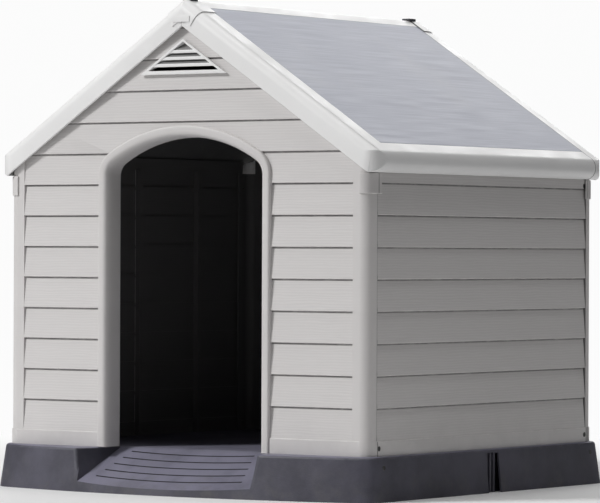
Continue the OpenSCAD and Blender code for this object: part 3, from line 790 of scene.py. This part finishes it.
class KENNEL_OT_base(Operator):
    """Makes the two halves of the base with the ramp, and their locks"""

    bl_idname = "kennel.base"
    bl_label = "Base"

    def execute(self, context):
        sizes = context.scene.kennel_moulding
        for node in ("base_front", "base_rear"):
            moulding(node, "base", [(sizes.base_edge, 4, base_rim)], base_ring)
        for side in SIDES:
            moulding(f"base_lock_{side}", "base", [(sizes.trim_edge, 3, everywhere)])
        return {"FINISHED"}


class KENNEL_OT_screws(Operator):
    """Makes the heads and shanks of the screws"""

    bl_idname = "kennel.screws"
    bl_label = "Screws"

    def execute(self, context):
        for node in ("wall_screws", "base_screws", "rake_screws"):
            moulding(node, "screw", [(0.4 * MM, 2, everywhere)])
        return {"FINISHED"}


class KENNEL_OT_stage(Operator):
    """Makes the floor, the backdrop, the lights and the camera"""

    bl_idname = "kennel.stage"
    bl_label = "Stage"

    def execute(self, context):
        stage_floor()
        stage_dome()
        stage_lights()
        stage_camera()
        return {"FINISHED"}


# ---------------------------------------------------------------- stage


FLOOR_R = 2.4
DOME_R = 40.0
BACKDROP_WHITE = 0.97

# The camera, as fitted to the siding lines: lens and sensor in millimetres, turns in radians
LENS = 235.3668
SENSOR_WIDTH = 36
CAMERA_PLACE = (4.6475, -6.676, 0.4818)
CAMERA_YAW = 0.607059
CAMERA_PITCH = 0.0002785
CAMERA_ROLL = 0.00417466


def stage_material(name, near, far, white):
    """Matt near the cabin, and evenly bright further out."""
    f = Finish(name, 0.9, specular=0.1)
    f.shader.inputs["Base Color"].default_value = (0.86, 0.86, 0.86, 1)
    glow = f.node("ShaderNodeEmission")
    glow.inputs["Color"].default_value = (white, white, white, 1)
    x, y = f.axes()[:2]
    distance = f.math("SQRT", f.math("ADD", f.math("MULTIPLY", x, x), f.math("MULTIPLY", y, y)))
    blend = f.node("ShaderNodeMixShader")
    f.feed(blend.inputs[0], f.ramp(distance, near, far))
    f.feed(blend.inputs[1], f.shader.outputs[0])
    f.feed(blend.inputs[2], glow.outputs[0])
    f.feed(f.tree.nodes["Material Output"].inputs[0], blend.outputs[0])
    return f.material


def stage_piece(bm, name, material):
    piece = object_from(bm, name, material)
    return piece


def stage_floor():
    bm = bmesh.new()
    bmesh.ops.create_circle(bm, cap_ends=True, segments=96, radius=FLOOR_R)
    cloth = stage_material("studio_floor", 0.8, FLOOR_R - 0.05, BACKDROP_WHITE)
    stage_piece(bm, "studio_floor", cloth)


def stage_dome():
    """A white surround that only the camera sees, so that it throws no light on the cabin."""
    bm = bmesh.new()
    bmesh.ops.create_uvsphere(bm, u_segments=48, v_segments=24, radius=DOME_R)
    cloth = stage_material("studio_dome", -2.0, -1.0, BACKDROP_WHITE)
    dome = stage_piece(bm, "studio_dome", cloth)
    for ray in ("diffuse", "glossy", "transmission", "volume_scatter", "shadow"):
        setattr(dome, "visible_" + ray, False)


def soft_light(name, position, aim, width, height, power):
    data = bpy.data.lights.new(name, "AREA")
    data.shape = "RECTANGLE"
    data.size, data.size_y = width, height
    data.energy = power
    lamp = bpy.data.objects.new(name, data)
    lamp.location = position
    lamp.rotation_mode = "QUATERNION"
    lamp.rotation_quaternion = (Vector(aim) - Vector(position)).to_track_quat("-Z", "Y")
    bpy.context.scene.collection.objects.link(lamp)


def stage_lights():
    soft_light("key", (-3.6, -5.2, 5.2), (0, 0, 0.5), 1.6, 1.6, 370)
    soft_light("overhead", (0.8, -0.4, 4.8), (0, 0, 0.6), 2.6, 2.6, 85)
    soft_light("low_front", (-4.6, -6.4, 1.4), (0, 0, 0.3), 2.4, 1.6, 45)
    soft_light("back", (-2.2, 4.6, 3.4), (0, 0, 0.5), 4.0, 2.6, 130)
    world = bpy.data.worlds.new("studio")
    world.use_nodes = True
    world.node_tree.nodes["Background"].inputs["Color"].default_value = (0.95, 0.97, 1, 1)
    world.node_tree.nodes["Background"].inputs["Strength"].default_value = 0.055
    bpy.context.scene.world = world
    bpy.context.scene.view_settings.view_transform = "Standard"


def stage_camera():
    yaw, pitch, roll = CAMERA_YAW, CAMERA_PITCH, CAMERA_ROLL
    level = math.cos(pitch)
    ahead = Vector((-math.sin(yaw) * level, math.cos(yaw) * level, math.sin(pitch)))
    right = Vector((math.cos(yaw), math.sin(yaw), 0))
    up = right.cross(ahead)
    across = math.cos(roll) * right + math.sin(roll) * up
    upright = -math.sin(roll) * right + math.cos(roll) * up
    data = bpy.data.cameras.new("camera")
    data.sensor_width = SENSOR_WIDTH
    data.lens = LENS
    data.clip_end = 200
    camera = bpy.data.objects.new("camera", data)
    turn = Matrix((across, upright, -ahead)).transposed().to_4x4()
    camera.matrix_world = Matrix.Translation(CAMERA_PLACE) @ turn
    bpy.context.scene.collection.objects.link(camera)
    bpy.context.scene.camera = camera


# ---------------------------------------------------------------- panel and registration


class KENNEL_PT_panel(Panel):
    """Lists the steps that make the cabin"""

    bl_idname = "KENNEL_PT_panel"
    bl_label = "Kennel Cabin"
    bl_space_type = "VIEW_3D"
    bl_region_type = "UI"
    bl_category = "Kennel"

    def draw(self, context):
        for step in STEPS:
            self.layout.operator(step.bl_idname)
        for group in (context.scene.kennel_moulding, context.scene.kennel_finish):
            for key in group.__annotations__:
                self.layout.prop(group, key)


STEPS = (
    KENNEL_OT_finishes, KENNEL_OT_walls, KENNEL_OT_roof, KENNEL_OT_vents,
    KENNEL_OT_base, KENNEL_OT_screws, KENNEL_OT_stage,
)
GROUPS = (KennelMoulding, KennelFinish)


def register():
    for group in GROUPS + STEPS + (KENNEL_PT_panel,):
        bpy.utils.register_class(group)
    bpy.types.Scene.kennel_moulding = PointerProperty(type=KennelMoulding)
    bpy.types.Scene.kennel_finish = PointerProperty(type=KennelFinish)


def unregister():
    del bpy.types.Scene.kennel_finish
    del bpy.types.Scene.kennel_moulding
    for group in reversed(GROUPS + STEPS + (KENNEL_PT_panel,)):
        bpy.utils.unregister_class(group)


def main():
    register()
    for step in STEPS:
        family, name = step.bl_idname.split(".")
        getattr(getattr(bpy.ops, family), name)()


if __name__ == "__main__":
    main()
